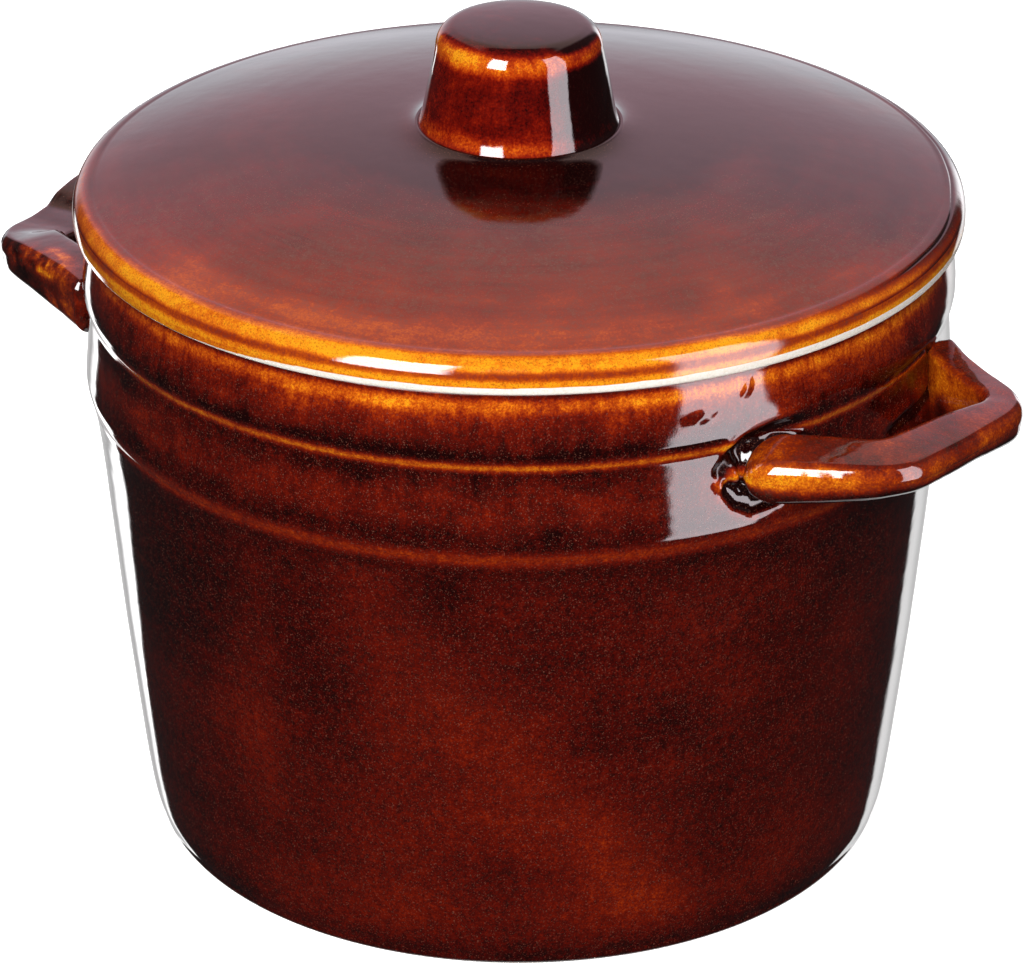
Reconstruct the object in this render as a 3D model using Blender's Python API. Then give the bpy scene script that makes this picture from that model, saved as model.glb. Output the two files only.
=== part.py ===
"""Stoneware fermentation crock: a turned body, two luted strap handles, a
lift-off lid with its knob, and a pair of half-moon pressing weights.

Metres, +Z up. The origin is the centre of the foot, on the table. The handles
look out along X. Both are set a little towards -Y of the diameter.
"""
import math

import bmesh
import bpy
from mathutils import Matrix, Vector

# ---------------------------------------------------------------- dimensions
MM = 0.001
GAP = 0.3            # clearance between pieces that touch

# crock body, outside
FOOT_RADIUS = 104.4
FOOT_ROUND = 4.0
WALL_LOW_Z = 7.0
WALL_LOW_RADIUS = 107.2
WALL_HIGH_Z = 104.0
WALL_HIGH_RADIUS = 118.3
WALL_BULGE = 0.75    # exponent of the taper, below 1 for a full belly
RING_LOW_Z = 133.5
RING_HIGH_Z = 161.5
RING_RADIUS = 123.1
BAND_RADIUS = 122.0
COLLAR_RADIUS = 123.1
RIM_Z = 184.1
RIM_ROUND = 1.4
# crock body, inside
MOUTH_RADIUS = 115.6
INNER_LOW_RADIUS = 99.0
FLOOR_Z = 9.0
FLOOR_FILLET = 14.0
FOOT_RING_INNER = 95.0
FOOT_RECESS = 1.6

# lid
LID_RADIUS = 125.6
LID_SEAT_Z = RIM_Z + GAP
LID_EDGE_Z = 187.4
LID_SHOULDER_RADIUS = 119.4
LID_SHOULDER_Z = 195.0
LID_TOP_Z = 210.0
LID_FLAT_RADIUS = 26.0
LID_WALL = 8.0
RING_OUTER = 113.4   # locating ring under the lid
RING_INNER = 105.6
RING_DEPTH = 8.0

# knob
KNOB_FOOT_Z = LID_TOP_Z + GAP
KNOB_FOOT_RADIUS = 28.6
KNOB_WAIST_Z = 213.2
KNOB_WAIST_RADIUS = 27.1
KNOB_TOP_RADIUS = 23.2
KNOB_EDGE_ROUND = 6.4
KNOB_CROWN_Z = 241.4
KNOB_CROWN_SAG = 1.5

# handles: plan of the strap's centre line, measured out from the crock's axis
HANDLE_REACH = 152.0
HANDLE_BAR_BULGE = 1.4
HANDLE_BAR_HALF = 21.6
HANDLE_SHOULDER = (122.0, 40.5)
HANDLE_ROOT = (110.0, 48.5)
HANDLE_WIDTH = 13.6
HANDLE_THICK = 13.4
HANDLE_ROOT_Z = 155.4
HANDLE_OFF_DIAMETER = 7.3     # degrees each handle stands off the diameter
RIGHT_HANDLE_RISE = 0.17       # height gained per unit of reach
LEFT_HANDLE_RISE = -0.05
LEFT_HANDLE_DROP = 3.4

# pressing weights
WEIGHT_RADIUS = 91.0
WEIGHT_THICK = 16.0
WEIGHT_SPLIT = 3.0             # gap between the two straight sides
WEIGHT_NOTCH_RADIUS = 14.0
WEIGHT_ROUND = 2.5

TURNS = 64                     # facets round a turned piece


# ------------------------------------------------------------------- helpers
def arc(centre, radius, start, end, count):
    """Points (r, z) on a circle arc, angles in degrees."""
    out = []
    for i in range(count):
        a = math.radians(start + (end - start) * i / (count - 1))
        out.append((centre[0] + radius * math.cos(a), centre[1] + radius * math.sin(a)))
    return out


def smooth(t):
    t = max(0.0, min(1.0, t))
    return t * t * (3.0 - 2.0 * t)


def glaze(name, colour, roughness):
    mat = bpy.data.materials.new(name)
    mat.use_nodes = True
    shader = mat.node_tree.nodes["Principled BSDF"]
    shader.inputs["Base Color"].default_value = (*colour, 1.0)
    shader.inputs["Roughness"].default_value = roughness
    shader.inputs["Metallic"].default_value = 0.0
    mat.diffuse_color = (*colour, 1.0)
    return mat


def finish_mesh(name, bm, mat, location=(0.0, 0.0, 0.0), angle=35.0):
    bmesh.ops.recalc_face_normals(bm, faces=bm.faces)
    mesh = bpy.data.meshes.new(name)
    bm.to_mesh(mesh)
    bm.free()
    mesh.shade_smooth()
    mesh.set_sharp_from_angle(angle=math.radians(angle))
    mesh.materials.append(mat)
    obj = bpy.data.objects.new(name, mesh)
    obj.location = location
    bpy.context.scene.collection.objects.link(obj)
    return obj


def turned(name, outline, mat, origin_z=0.0):
    """Revolves a closed outline of (radius, height) in mm about Z."""
    bm = bmesh.new()
    rings = []
    for r, z in outline:
        if r < 1e-6:
            rings.append([bm.verts.new((0.0, 0.0, (z - origin_z) * MM))])
            continue
        ring = []
        for i in range(TURNS):
            a = 2.0 * math.pi * i / TURNS
            ring.append(bm.verts.new((r * MM * math.cos(a), r * MM * math.sin(a), (z - origin_z) * MM)))
        rings.append(ring)
    closed = len(rings[0]) > 1
    pairs = list(zip(rings, rings[1:]))
    if closed:
        pairs.append((rings[-1], rings[0]))
    for low, high in pairs:
        if len(low) == 1 and len(high) == 1:
            continue
        for i in range(TURNS):
            j = (i + 1) % TURNS
            if len(low) == 1:
                bm.faces.new((low[0], high[i], high[j]))
            elif len(high) == 1:
                bm.faces.new((low[i], low[j], high[0]))
            else:
                bm.faces.new((low[i], low[j], high[j], high[i]))
    return finish_mesh(name, bm, mat, (0.0, 0.0, origin_z * MM))


# ---------------------------------------------------------------- crock body
def wall_radius(z):
    """Outer radius of the crock at a height, without the rim's round."""
    if z <= WALL_HIGH_Z:
        t = max(0.0, (z - WALL_LOW_Z) / (WALL_HIGH_Z - WALL_LOW_Z))
        return WALL_LOW_RADIUS + (WALL_HIGH_RADIUS - WALL_LOW_RADIUS) * t ** WALL_BULGE
    if z <= RING_LOW_Z:
        t = (z - WALL_HIGH_Z) / (RING_LOW_Z - WALL_HIGH_Z)
        return WALL_HIGH_RADIUS + (RING_RADIUS - WALL_HIGH_RADIUS) * (0.15 * t + 0.85 * smooth(t))
    if z <= RING_HIGH_Z:
        t = (z - RING_LOW_Z) / (RING_HIGH_Z - RING_LOW_Z)
        dip = smooth(t / 0.22) * smooth((1.0 - t) / 0.22)
        return RING_RADIUS - (RING_RADIUS - BAND_RADIUS) * dip
    return COLLAR_RADIUS


def outer_wall(offset=0.0):
    """The outside from the foot's round up to the rim's round."""
    heights = [WALL_LOW_Z + (WALL_HIGH_Z - WALL_LOW_Z) * i / 5 for i in range(6)]
    heights += [113.0, 119.0, 125.0, 130.0, RING_LOW_Z, 137.0, 140.5]
    heights += [154.5, 158.0, RING_HIGH_Z]
    return [(wall_radius(z) + offset, z) for z in heights]


def inner_radius(z):
    t = max(0.0, min(1.0, (z - FLOOR_Z) / (120.0 - FLOOR_Z)))
    return INNER_LOW_RADIUS + (MOUTH_RADIUS - INNER_LOW_RADIUS) * t ** 0.8


def body_outline():
    outline = [(FOOT_RING_INNER, 0.0), (FOOT_RADIUS, 0.0)]
    outline += arc((FOOT_RADIUS - 1.6, FOOT_ROUND), FOOT_ROUND, -50.0, 0.0, 3)
    outline += outer_wall()
    outline += arc((COLLAR_RADIUS - RIM_ROUND, RIM_Z - RIM_ROUND), RIM_ROUND, 0.0, 90.0, 3)
    outline += arc((MOUTH_RADIUS + RIM_ROUND, RIM_Z - RIM_ROUND), RIM_ROUND, 90.0, 180.0, 3)
    outline += [(inner_radius(z), z) for z in (120.0, 85.0, 50.0)]
    corner = (inner_radius(FLOOR_Z + FLOOR_FILLET) - FLOOR_FILLET, FLOOR_Z + FLOOR_FILLET)
    outline += arc(corner, FLOOR_FILLET, 0.0, -90.0, 5)
    outline += [(0.0, FLOOR_Z)]
    outline += [(0.0, FOOT_RECESS), (FOOT_RING_INNER - 2.0, FOOT_RECESS)]
    # start and end on the axis, so that the floor and the foot close there
    start = outline.index((0.0, FOOT_RECESS))
    return outline[start:] + outline[:start]


# ----------------------------------------------------------------------- lid
def lid_top(r):
    """Height of the dome at a radius: nearly flat round the knob, falling faster to the shoulder."""
    t = max(0.0, (r - LID_FLAT_RADIUS) / (LID_SHOULDER_RADIUS - LID_FLAT_RADIUS))
    return LID_TOP_Z - (LID_TOP_Z - LID_SHOULDER_Z) * (0.35 * t + 0.65 * t ** 2.4)


def lid_outline():
    out = [(0.0, LID_TOP_Z)]
    steps = 7
    for i in range(steps + 1):
        r = LID_FLAT_RADIUS + (LID_SHOULDER_RADIUS - LID_FLAT_RADIUS) * i / steps
        out.append((r, lid_top(r)))
    # rounded edge: a quarter ellipse from the shoulder down to the widest line
    for i in range(1, 5):
        a = math.radians(90.0 * i / 4)
        out.append((LID_SHOULDER_RADIUS + (LID_RADIUS - LID_SHOULDER_RADIUS) * math.sin(a),
                    LID_EDGE_Z + (LID_SHOULDER_Z - LID_EDGE_Z) * math.cos(a)))
    # bare lower corner
    out += [(LID_RADIUS - 0.9, LID_EDGE_Z - 1.4), (LID_RADIUS - 3.0, LID_SEAT_Z)]
    out += [(RING_OUTER + 0.6, LID_SEAT_Z), (RING_OUTER, LID_SEAT_Z - RING_DEPTH + 1.5), (RING_OUTER - 1.5, LID_SEAT_Z - RING_DEPTH)]
    out += [(RING_INNER + 1.5, LID_SEAT_Z - RING_DEPTH), (RING_INNER, LID_SEAT_Z - RING_DEPTH + 1.5), (RING_INNER - 1.0, LID_SEAT_Z + 0.5)]
    for r in (92.0, 68.0, 44.0):
        out.append((r, lid_top(r) - LID_WALL))
    out.append((0.0, LID_TOP_Z - LID_WALL))
    return out[::-1]


def knob_outline():
    out = [(0.0, KNOB_FOOT_Z), (KNOB_FOOT_RADIUS, KNOB_FOOT_Z), (KNOB_FOOT_RADIUS - 0.5, KNOB_FOOT_Z + 1.0)]
    out += [(KNOB_WAIST_RADIUS, KNOB_WAIST_Z)]
    edge = (KNOB_TOP_RADIUS - KNOB_EDGE_ROUND, KNOB_CROWN_Z - KNOB_CROWN_SAG - KNOB_EDGE_ROUND)
    out += arc(edge, KNOB_EDGE_ROUND, 8.0, 82.0, 5)
    out += [(edge[0] * 0.5, KNOB_CROWN_Z - KNOB_CROWN_SAG * 0.25), (0.0, KNOB_CROWN_Z)]
    return out


# ------------------------------------------------------------------- handles
def bend(p, corner, q, radius, count):
    """Points of a rounded corner between two straight runs of a plan line."""
    p, corner, q = Vector(p), Vector(corner), Vector(q)
    a, b = (p - corner).normalized(), (q - corner).normalized()
    half = a.angle(b) / 2.0
    t = min(radius / math.tan(half), 0.48 * (p - corner).length, 0.48 * (q - corner).length)
    start, end = corner + a * t, corner + b * t
    out = []
    for i in range(count):
        k = i / (count - 1)
        out.append((1 - k) ** 2 * start + 2 * k * (1 - k) * corner + k ** 2 * end)
    return out


def strap_plan():
    root, shoulder = HANDLE_ROOT, HANDLE_SHOULDER
    a, s = (root[0], -root[1]), (shoulder[0], -shoulder[1])
    c, m = (HANDLE_REACH, -HANDLE_BAR_HALF), (HANDLE_REACH + HANDLE_BAR_BULGE, 0.0)
    half = [Vector(a)] + bend(a, s, c, 42.0, 5) + bend(s, c, m, 6.0, 6)
    mirrored = [Vector((p.x, -p.y)) for p in reversed(half)]
    return half + [Vector(m)] + mirrored


def strap_section(width, thick, corner):
    """Rounded rectangle, counter-clockwise, across the strap and up."""
    out = []
    for cx, cz, start in ((1, 1, 0.0), (-1, 1, 90.0), (-1, -1, 180.0), (1, -1, 270.0)):
        for i in range(4):
            a = math.radians(start + 30.0 * i)
            out.append((cx * (width / 2 - corner) + corner * math.cos(a),
                        cz * (thick / 2 - corner) + corner * math.sin(a)))
    return out


def strap(name, mat, rise, turn_degrees, lift):
    """A bent clay strap, lofted section by section along its plan line."""
    plan = strap_plan()
    bm = bmesh.new()
    rings = []
    for i, p in enumerate(plan):
        before, after = plan[max(0, i - 1)], plan[min(len(plan) - 1, i + 1)]
        along = (after - before).normalized()
        out = Vector((along.y, -along.x))
        # the strap is pressed wider where it meets the wall
        press = 1.0 + 0.15 * smooth((130.0 - p.x) / 14.0)
        z = HANDLE_ROOT_Z + lift + rise * (p.x - 122.0)
        ring = []
        flare = 1.0 + 0.14 * smooth((146.0 - p.x) / 18.0)
        for w, h in strap_section(HANDLE_WIDTH * flare, HANDLE_THICK * press, 4.6):
            ring.append(bm.verts.new(((p.x + out.x * w) * MM, (p.y + out.y * w) * MM, (z + h) * MM)))
        rings.append(ring)
    count = len(rings[0])
    for a, b in zip(rings, rings[1:]):
        for i in range(count):
            j = (i + 1) % count
            bm.faces.new((a[i], a[j], b[j], b[i]))
    bm.faces.new(rings[0])
    bm.faces.new(rings[-1])
    bmesh.ops.rotate(bm, verts=bm.verts, cent=(0, 0, 0), matrix=Matrix.Rotation(math.radians(turn_degrees), 3, "Z"))
    obj = finish_mesh(name, bm, mat, angle=50.0)
    return obj


# ------------------------------------------------------------------- weights
def half_moon(name, mat, side):
    """Half disc with a finger notch in its straight side, edges eased."""
    bm = bmesh.new()
    flat = WEIGHT_SPLIT / 2.0
    start = math.degrees(math.asin(flat / WEIGHT_RADIUS))
    edge = arc((0.0, 0.0), WEIGHT_RADIUS, start, 180.0 - start, 25)
    notch = arc((0.0, flat), WEIGHT_NOTCH_RADIUS, 180.0, 0.0, 9)
    points = edge + notch
    verts = [bm.verts.new((x * MM, y * MM, 0.0)) for x, y in points]
    face = bm.faces.new(verts)
    solid = bmesh.ops.extrude_face_region(bm, geom=[face])
    top = [v for v in solid["geom"] if isinstance(v, bmesh.types.BMVert)]
    bmesh.ops.translate(bm, verts=top, vec=(0.0, 0.0, WEIGHT_THICK * MM))
    bm.edges.ensure_lookup_table()
    rims = [e for e in bm.edges if abs(e.verts[0].co.z - e.verts[1].co.z) < 1e-9]
    bmesh.ops.bevel(bm, geom=rims, offset=WEIGHT_ROUND * MM, segments=1, profile=0.5, affect="EDGES")
    if side < 0:
        bmesh.ops.rotate(bm, verts=bm.verts, cent=(0, 0, 0), matrix=Matrix.Rotation(math.pi, 3, "Z"))
    return finish_mesh(name, bm, mat, (0.0, 0.0, (FLOOR_Z + GAP) * MM), angle=30.0)


# --------------------------------------------------------------------- build
for old in list(bpy.data.objects):
    bpy.data.objects.remove(old, do_unlink=True)

brown = (0.115, 0.022, 0.008)
body = turned("crock_body", body_outline(), glaze("crock_glaze", brown, 0.12))

lid = turned("lid_plate", lid_outline(), glaze("lid_glaze", (0.20, 0.050, 0.014), 0.10), LID_SEAT_Z)
knob = turned("lid_knob", knob_outline(), glaze("knob_glaze", (0.16, 0.030, 0.010), 0.10), KNOB_FOOT_Z)
knob.parent = lid
knob.matrix_parent_inverse = lid.matrix_basis.inverted()

# The outside of the wall with clearance, used to trim the handles' roots.
trim_outline = [(0.0, 60.0), (wall_radius(60.0) + GAP, 60.0)]
trim_outline += [(r, z) for r, z in outer_wall(GAP) if z > 80.0]
trim_outline += [(COLLAR_RADIUS + GAP, 200.0), (0.0, 200.0)]
trim = turned("wall_trim", trim_outline, glaze("trim_guide", (0.5, 0.5, 0.5), 0.5))
trim.hide_render = True
trim.display_type = "WIRE"

right = strap("handle_right", glaze("handle_right_glaze", (0.22, 0.060, 0.014), 0.12),
              RIGHT_HANDLE_RISE, -HANDLE_OFF_DIAMETER, 0.0)
left = strap("handle_left", glaze("handle_left_glaze", (0.20, 0.055, 0.014), 0.12),
             LEFT_HANDLE_RISE, 180.0 + HANDLE_OFF_DIAMETER, -LEFT_HANDLE_DROP)
for handle in (right, left):
    cut = handle.modifiers.new("seat_on_wall", "BOOLEAN")
    cut.operation = "DIFFERENCE"
    cut.solver = "EXACT"
    cut.object = trim
    handle.parent = body

bisque = (0.62, 0.50, 0.38)
half_moon("weight_half_a", glaze("weight_a_clay", bisque, 0.75), 1)
half_moon("weight_half_b", glaze("weight_b_clay", bisque, 0.75), -1)
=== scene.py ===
"""Looks of the stoneware fermentation crock, built round its fixed frame.

Every piece gets a fine mesh and a procedural glaze or clay. Lengths in the
tables below are millimetres, in the same frame as the solids.
"""
import math

import bmesh
import bpy
import numpy as np
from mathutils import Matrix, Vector, noise


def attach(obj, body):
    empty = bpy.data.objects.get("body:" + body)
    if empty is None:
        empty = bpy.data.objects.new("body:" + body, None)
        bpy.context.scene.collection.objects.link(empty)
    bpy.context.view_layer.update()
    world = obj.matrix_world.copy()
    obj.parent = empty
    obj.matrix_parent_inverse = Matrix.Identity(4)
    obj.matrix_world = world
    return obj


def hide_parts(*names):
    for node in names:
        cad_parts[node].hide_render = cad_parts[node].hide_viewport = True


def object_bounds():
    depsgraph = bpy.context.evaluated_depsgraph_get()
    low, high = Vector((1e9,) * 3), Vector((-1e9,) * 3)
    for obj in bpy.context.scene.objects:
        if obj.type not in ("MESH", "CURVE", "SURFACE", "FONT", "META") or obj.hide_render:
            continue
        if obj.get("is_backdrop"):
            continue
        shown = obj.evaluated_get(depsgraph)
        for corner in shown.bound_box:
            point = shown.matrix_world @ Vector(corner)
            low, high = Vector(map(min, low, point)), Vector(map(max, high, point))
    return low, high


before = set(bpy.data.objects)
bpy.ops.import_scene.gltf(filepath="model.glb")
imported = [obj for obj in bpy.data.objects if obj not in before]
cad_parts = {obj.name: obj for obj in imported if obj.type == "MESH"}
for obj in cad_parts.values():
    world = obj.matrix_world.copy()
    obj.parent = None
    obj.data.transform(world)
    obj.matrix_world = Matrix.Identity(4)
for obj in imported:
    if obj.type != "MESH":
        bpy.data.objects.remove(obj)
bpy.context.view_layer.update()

MM = 0.001
VIEW_AZIMUTH = 34.13          # degrees the camera stands round from -Y towards +X
HANDLE_OFF = 7.3              # degrees each handle stands off the X axis


# ------------------------------------------------------------------- helpers
def smooth(t):
    t = np.clip(t, 0.0, 1.0)
    return t * t * (3.0 - 2.0 * t)


def hump(x, centre, width):
    return np.exp(-(((x - centre) / width) ** 2))


def curve_through(points):
    """Monotone cubic through (x, y) points; returns a function of arrays."""
    pts = sorted(points)
    x = np.array([p[0] for p in pts], float)
    y = np.array([p[1] for p in pts], float)
    h = np.diff(x)
    s = np.diff(y) / h
    m = np.zeros(len(x))
    m[0], m[-1] = s[0], s[-1]
    for i in range(1, len(x) - 1):
        if s[i - 1] * s[i] > 0:
            m[i] = 2.0 / (1.0 / s[i - 1] + 1.0 / s[i])

    def value(q):
        q = np.asarray(q, float)
        k = np.clip(np.searchsorted(x, q) - 1, 0, len(x) - 2)
        t = np.clip((q - x[k]) / h[k], 0.0, 1.0)
        return (y[k] * (1 + 2 * t) * (1 - t) ** 2 + h[k] * m[k] * t * (1 - t) ** 2
                + y[k + 1] * t * t * (3 - 2 * t) + h[k] * m[k + 1] * t * t * (t - 1))

    return value


def ripple(points, scale, seed, octaves=2):
    """Smooth noise in -1..1 at points given in mm; scale is the feature size in mm."""
    off = Vector((seed * 17.31, seed * -9.7, seed * 5.13))
    return np.array([noise.fractal(Vector(p) / scale + off, 1.0, 2.0, octaves) for p in points])


def add_object(name, verts, faces, mats, face_mats=None, attributes=None):
    mesh = bpy.data.meshes.new(name)
    mesh.from_pydata([tuple(v) for v in (np.asarray(verts) * MM).tolist()], [], faces)
    for m in mats:
        mesh.materials.append(m)
    for key, values in (attributes or {}).items():
        layer = mesh.attributes.new(key, "FLOAT", "POINT")
        layer.data.foreach_set("value", np.asarray(values, np.float32))
    if face_mats is not None:
        mesh.polygons.foreach_set("material_index", np.asarray(face_mats, np.int32))
    mesh.validate()
    bm = bmesh.new()
    bm.from_mesh(mesh)
    bmesh.ops.recalc_face_normals(bm, faces=bm.faces)
    bm.to_mesh(mesh)
    bm.free()
    mesh.shade_smooth()
    obj = bpy.data.objects.new(name, mesh)
    bpy.context.scene.collection.objects.link(obj)
    return obj


def revolve(stations, angles):
    """Grid of a closed outline (first and last station on the axis) turned round Z.
    Returns vertex radii, heights, angles, station index and the faces."""
    r = np.array([s[0] for s in stations], float)
    z = np.array([s[1] for s in stations], float)
    n, m = len(stations), len(angles)
    inner = n - 2
    rr = np.repeat(r[1:-1], m)
    zz = np.repeat(z[1:-1], m)
    aa = np.tile(angles, inner)
    idx = np.repeat(np.arange(1, n - 1), m)
    rr = np.concatenate([[r[0]], rr, [r[-1]]])
    zz = np.concatenate([[z[0]], zz, [z[-1]]])
    aa = np.concatenate([[0.0], aa, [0.0]])
    idx = np.concatenate([[0], idx, [n - 1]])
    faces = []
    last = 1 + inner * m
    for j in range(m):
        k = (j + 1) % m
        faces.append((0, 1 + j, 1 + k))
        base = 1 + (inner - 1) * m
        faces.append((base + j, last, base + k))
    for i in range(inner - 1):
        a0, b0 = 1 + i * m, 1 + (i + 1) * m
        for j in range(m):
            k = (j + 1) % m
            faces.append((a0 + j, b0 + j, b0 + k, a0 + k))
    return rr, zz, aa, idx, faces


def even_angles(count):
    return np.arange(count) * (2.0 * math.pi / count)


def dense_angles(coarse, fine, zones):
    """Angles round the axis, closer together inside the zones (centre, half width), in degrees."""
    out, a = [], -180.0
    while a < 180.0 - 1e-6:
        out.append(a)
        near = min(max(0.0, abs((a - c + 180.0) % 360.0 - 180.0) - w) for c, w in zones)
        a += fine + (coarse - fine) * min(1.0, near / 6.0)
    out = np.radians(np.array(out) * (360.0 / (a + 180.0)) + 0.0)
    return out


# ----------------------------------------------------------------- materials
class Sock:
    """A node output, or a number, with arithmetic that makes Math nodes."""

    def __init__(self, tree, out):
        self.tree, self.out = tree, out

    def _math(self, op, *others, clamp=False):
        node = self.tree.nodes.new("ShaderNodeMath")
        node.operation = op
        node.use_clamp = clamp
        for i, v in enumerate((self, *others)):
            put(self.tree, node.inputs[i], v)
        return Sock(self.tree, node.outputs[0])

    def __add__(self, o):
        return self._math("ADD", o)

    __radd__ = __add__

    def __sub__(self, o):
        return self._math("SUBTRACT", o)

    def __rsub__(self, o):
        return (self * -1.0) + o

    def __mul__(self, o):
        return self._math("MULTIPLY", o)

    __rmul__ = __mul__

    def __truediv__(self, o):
        return self._math("DIVIDE", o)

    def power(self, o):
        return self._math("POWER", o)

    def root(self):
        return self._math("SQRT")

    def absolute(self):
        return self._math("ABSOLUTE")

    def low(self, o):
        return self._math("MINIMUM", o)

    def high(self, o):
        return self._math("MAXIMUM", o)

    def clamp(self):
        return self._math("ADD", 0.0, clamp=True)

    def step(self, start, end):
        """0 at start, 1 at end, smooth between."""
        node = self.tree.nodes.new("ShaderNodeMapRange")
        node.interpolation_type = "SMOOTHSTEP"
        put(self.tree, node.inputs["Value"], self)
        if start <= end:
            node.inputs["From Min"].default_value, node.inputs["From Max"].default_value = start, end
        else:
            node.inputs["From Min"].default_value, node.inputs["From Max"].default_value = end, start
            node.inputs["To Min"].default_value, node.inputs["To Max"].default_value = 1.0, 0.0
        return Sock(self.tree, node.outputs["Result"])


def put(tree, socket, value):
    if isinstance(value, Sock):
        tree.links.new(value.out, socket)
    elif hasattr(value, "links"):
        tree.links.new(value, socket)
    else:
        socket.default_value = value


def new_material(name):
    mat = bpy.data.materials.new(name)
    mat.use_nodes = True
    tree = mat.node_tree
    shader = tree.nodes["Principled BSDF"]
    return mat, tree, shader


def object_position(tree):
    return tree.nodes.new("ShaderNodeTexCoord").outputs["Object"]


def split(tree, vector):
    node = tree.nodes.new("ShaderNodeSeparateXYZ")
    tree.links.new(vector, node.inputs[0])
    return [Sock(tree, node.outputs[i]) for i in range(3)]


def join(tree, x, y, z):
    node = tree.nodes.new("ShaderNodeCombineXYZ")
    for i, v in enumerate((x, y, z)):
        put(tree, node.inputs[i], v)
    return node.outputs[0]


def noise_at(tree, vector, scale, detail=2.0, rough=0.55, distortion=0.0, lift=0.0):
    node = tree.nodes.new("ShaderNodeTexNoise")
    node.noise_dimensions = "4D" if lift else "3D"
    if lift:
        node.inputs["W"].default_value = lift
    tree.links.new(vector, node.inputs["Vector"])
    node.inputs["Scale"].default_value = scale
    node.inputs["Detail"].default_value = detail
    node.inputs["Roughness"].default_value = rough
    node.inputs["Distortion"].default_value = distortion
    return Sock(tree, node.outputs[0])


def attribute(tree, name):
    node = tree.nodes.new("ShaderNodeAttribute")
    node.attribute_type = "GEOMETRY"
    node.attribute_name = name
    return Sock(tree, node.outputs["Fac"])


def ramp(tree, fac, stops):
    node = tree.nodes.new("ShaderNodeValToRGB")
    put(tree, node.inputs[0], fac)
    el = node.color_ramp.elements
    while len(el) > 1:
        el.remove(el[-1])
    el[0].position, el[0].color = stops[0][0], (*stops[0][1], 1.0)
    for p, c in stops[1:]:
        e = el.new(p)
        e.color = (*c, 1.0)
    node.color_ramp.interpolation = "LINEAR"
    return node.outputs[0]


def mix_colour(tree, fac, a, b, blend="MIX"):
    node = tree.nodes.new("ShaderNodeMix")
    node.data_type = "RGBA"
    node.blend_type = blend
    put(tree, node.inputs[0], fac)
    for i, v in ((6, a), (7, b)):
        if isinstance(v, tuple):
            node.inputs[i].default_value = (*v, 1.0)
        else:
            put(tree, node.inputs[i], v)
    return node.outputs[2]


def bump_from(tree, height, strength, distance, onto=None):
    node = tree.nodes.new("ShaderNodeBump")
    node.inputs["Strength"].default_value = strength
    node.inputs["Distance"].default_value = distance
    put(tree, node.inputs["Height"], height)
    if onto is not None:
        tree.links.new(onto, node.inputs["Normal"])
    return node.outputs[0]


# Colour of the glaze over the clay by how thick it lies: straw and amber where
# it has run off an edge, red brown on a wall, near black in a hollow.
GLAZE = [
    (0.00, (0.82, 0.31, 0.008)),
    (0.14, (0.64, 0.150, 0.005)),
    (0.28, (0.43, 0.070, 0.0032)),
    (0.42, (0.25, 0.024, 0.0020)),
    (0.56, (0.145, 0.0090, 0.0015)),
    (0.70, (0.085, 0.0043, 0.0012)),
    (0.84, (0.042, 0.0020, 0.0010)),
    (1.00, (0.008, 0.0007, 0.0007)),
]
BISQUE = (0.84, 0.79, 0.70)


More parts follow.
